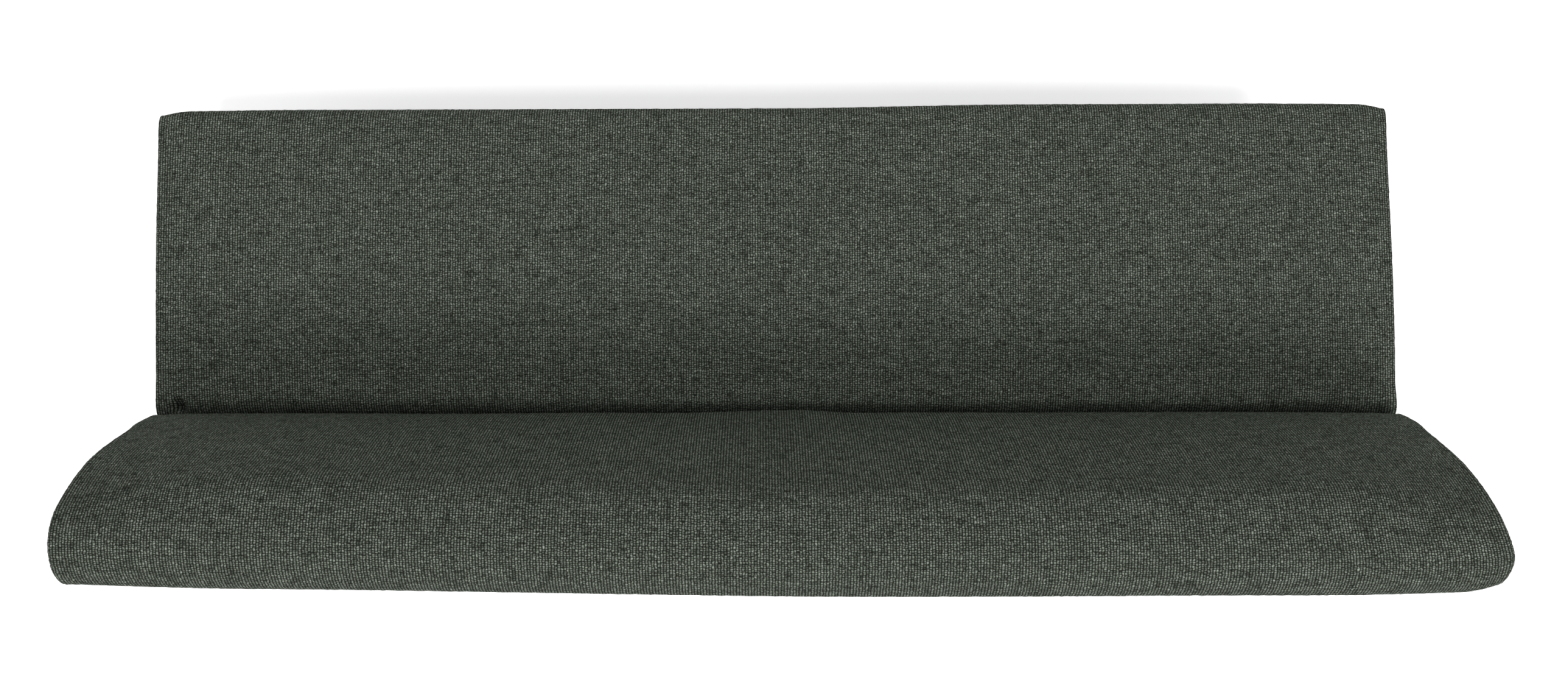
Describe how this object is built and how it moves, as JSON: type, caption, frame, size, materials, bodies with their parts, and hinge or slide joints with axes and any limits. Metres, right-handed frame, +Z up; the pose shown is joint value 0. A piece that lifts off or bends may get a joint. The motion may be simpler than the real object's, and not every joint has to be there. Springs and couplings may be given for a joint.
{
  "type": "upholstered dining bench",
  "caption": "Long padded dining bench with a leaning padded backrest in mottled grey-green weave, on splayed round steel legs; seats people at a table.",
  "frame": {"origin": "on the floor under the middle of the bench's outline", "axes": "+X along the bench, -Y towards the person who sits down, +Z up"},
  "size_m": [1.8, 0.6683, 0.8665],
  "materials": {
    "upholstery_fabric": "coarse mottled basket weave",
    "dust_cloth": "thin nonwoven cloth",
    "wadding": "soft polyester fleece",
    "foam": "open-cell polyurethane foam",
    "felt": "needled felt",
    "webbing": "elastic woven strap",
    "hardboard": "smooth hardboard",
    "frame_timber": "planed beech and plywood",
    "leg_steel": "matt black powder coat",
    "glide_plastic": "moulded plastic"
  },
  "bodies": {
    "root": {"back_border_foam": "foam", "back_cover_left_end_panel": "upholstery_fabric", "back_cover_long_panel": "upholstery_fabric", "back_cover_right_end_panel": "upholstery_fabric", "back_front_foam": "foam", "back_lumbar_rail": "frame_timber", "back_rear_board": "hardboard", "back_rear_foam": "foam", "back_top_rail": "frame_timber", "back_upright_left_inner": "frame_timber", "back_upright_left_outer": "frame_timber", "back_upright_right_inner": "frame_timber", "back_upright_right_outer": "frame_timber", "back_wadding": "wadding", "back_webbing_straps": "webbing", "base_front_rail": "frame_timber", "base_left_cross_rail": "frame_timber", "base_left_end_rail": "frame_timber", "base_rear_rail": "frame_timber", "base_right_cross_rail": "frame_timber", "base_right_end_rail": "frame_timber", "dust_cover": "dust_cloth", "leg_block_front_left": "frame_timber", "leg_block_front_right": "frame_timber", "leg_block_rear_left": "frame_timber", "leg_block_rear_right": "frame_timber", "leg_front_left": "leg_steel", "leg_front_right": "leg_steel", "leg_glides": "glide_plastic", "leg_plate_front_left": "leg_steel", "leg_plate_front_right": "leg_steel", "leg_plate_rear_left": "leg_steel", "leg_plate_rear_right": "leg_steel", "leg_rear_left": "leg_steel", "leg_rear_right": "leg_steel", "seat_border_foam": "foam", "seat_cover_left_end_panel": "upholstery_fabric", "seat_cover_long_panel": "upholstery_fabric", "seat_cover_right_end_panel": "upholstery_fabric", "seat_felt_pad": "felt", "seat_foam": "foam", "seat_rear_rail_left": "frame_timber", "seat_rear_rail_middle": "frame_timber", "seat_rear_rail_right": "frame_timber", "seat_wadding": "wadding", "seat_webbing_long_straps": "webbing", "seat_webbing_straps": "webbing"}
  },
  "joints": []
}
